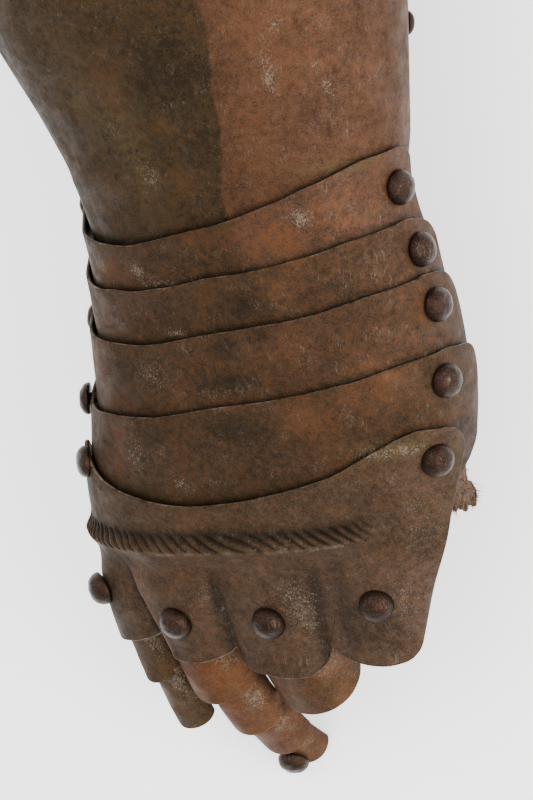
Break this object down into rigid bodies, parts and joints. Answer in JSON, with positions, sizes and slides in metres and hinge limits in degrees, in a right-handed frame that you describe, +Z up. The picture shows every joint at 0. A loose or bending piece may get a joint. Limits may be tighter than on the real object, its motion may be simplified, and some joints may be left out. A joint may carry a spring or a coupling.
{
  "type": "armoured gauntlet",
  "caption": "Armoured gauntlet for a right hand: flared cuff, hinged lames over the wrist and hand, a knuckle plate with a roped ridge, and overlapping finger scales.",
  "frame": {"origin": "middle of the underside of the box round the whole gauntlet, on the surface that it lies on", "axes": "+X the thumb side, +Y from the fingers to the cuff's mouth, +Z up from the palm to the back of the hand"},
  "size_m": [0.1622, 0.3186, 0.1278],
  "materials": {
    "cuff_iron": "rusted brown iron, pitted, darker on the little finger's side",
    "plate_iron": "rusted brown iron, rubbed along the edges",
    "scale_iron": "rusted brown iron, pale scuffs",
    "rivet_iron": "dark rusted iron, shiny where rubbed",
    "leather": "dry, frayed brown leather"
  },
  "bodies": {
    "cuff": {"seam_rivet_thumb_1": "rivet_iron", "seam_rivet_thumb_2": "rivet_iron", "seam_rivet_little_1": "rivet_iron", "seam_rivet_little_2": "rivet_iron", "cuff_plate": "cuff_iron", "cuff_inner_plate": "cuff_iron"},
    "lame_1": {"lame_1": "plate_iron", "pivot_rivet_thumb_1": "rivet_iron", "pivot_rivet_little_1": "rivet_iron"},
    "lame_2": {"lame_2": "plate_iron", "pivot_rivet_thumb_2": "rivet_iron", "pivot_rivet_little_2": "rivet_iron"},
    "lame_3": {"lame_3": "plate_iron", "pivot_rivet_thumb_3": "rivet_iron", "pivot_rivet_little_3": "rivet_iron"},
    "lame_4": {"lame_4": "plate_iron", "pivot_rivet_thumb_4": "rivet_iron", "pivot_rivet_little_4": "rivet_iron"},
    "knuckles": {"pivot_rivet_thumb_5": "rivet_iron", "pivot_rivet_little_5": "rivet_iron", "knuckle_rivet_little": "rivet_iron", "knuckle_rivet_ring": "rivet_iron", "knuckle_rivet_middle": "rivet_iron", "knuckle_rivet_index": "rivet_iron", "knuckle_plate": "plate_iron", "scale_little_1": "scale_iron", "scale_little_2": "scale_iron", "strap_little": "leather", "scale_ring_1": "scale_iron", "scale_ring_2": "scale_iron", "scale_ring_3": "scale_iron", "scale_ring_4": "scale_iron", "strap_ring": "leather", "scale_middle_1": "scale_iron", "strap_middle": "leather", "ring_tip_rivet": "rivet_iron", "thumb_leather": "leather"}
  },
  "joints": [
    {"name": "wrist_hinge", "type": "hinge", "parent": "cuff", "child": "lame_1", "pos_m": [0.01496, 0.02029, 0.05725], "axis": [0.997, 0, 0.0774], "range_deg": [-3, 6]},
    {"name": "lame_hinge_2", "type": "hinge", "parent": "lame_1", "child": "lame_2", "pos_m": [0.01584, 0.00279, 0.05333], "axis": [0.9969, 0, 0.0791], "range_deg": [-3, 6]},
    {"name": "lame_hinge_3", "type": "hinge", "parent": "lame_2", "child": "lame_3", "pos_m": [0.01542, -0.01271, 0.05242], "axis": [0.9987, 0, 0.051], "range_deg": [-3, 6]},
    {"name": "lame_hinge_4", "type": "hinge", "parent": "lame_3", "child": "lame_4", "pos_m": [0.01384, -0.03471, 0.05438], "axis": [0.9998, 0.0177, -0.0017], "range_deg": [-3, 6]},
    {"name": "knuckle_hinge", "type": "hinge", "parent": "lame_4", "child": "knuckles", "pos_m": [0.01041, -0.05471, 0.05551], "axis": [0.9996, -0.0182, -0.0225], "range_deg": [-3, 6]}
  ]
}
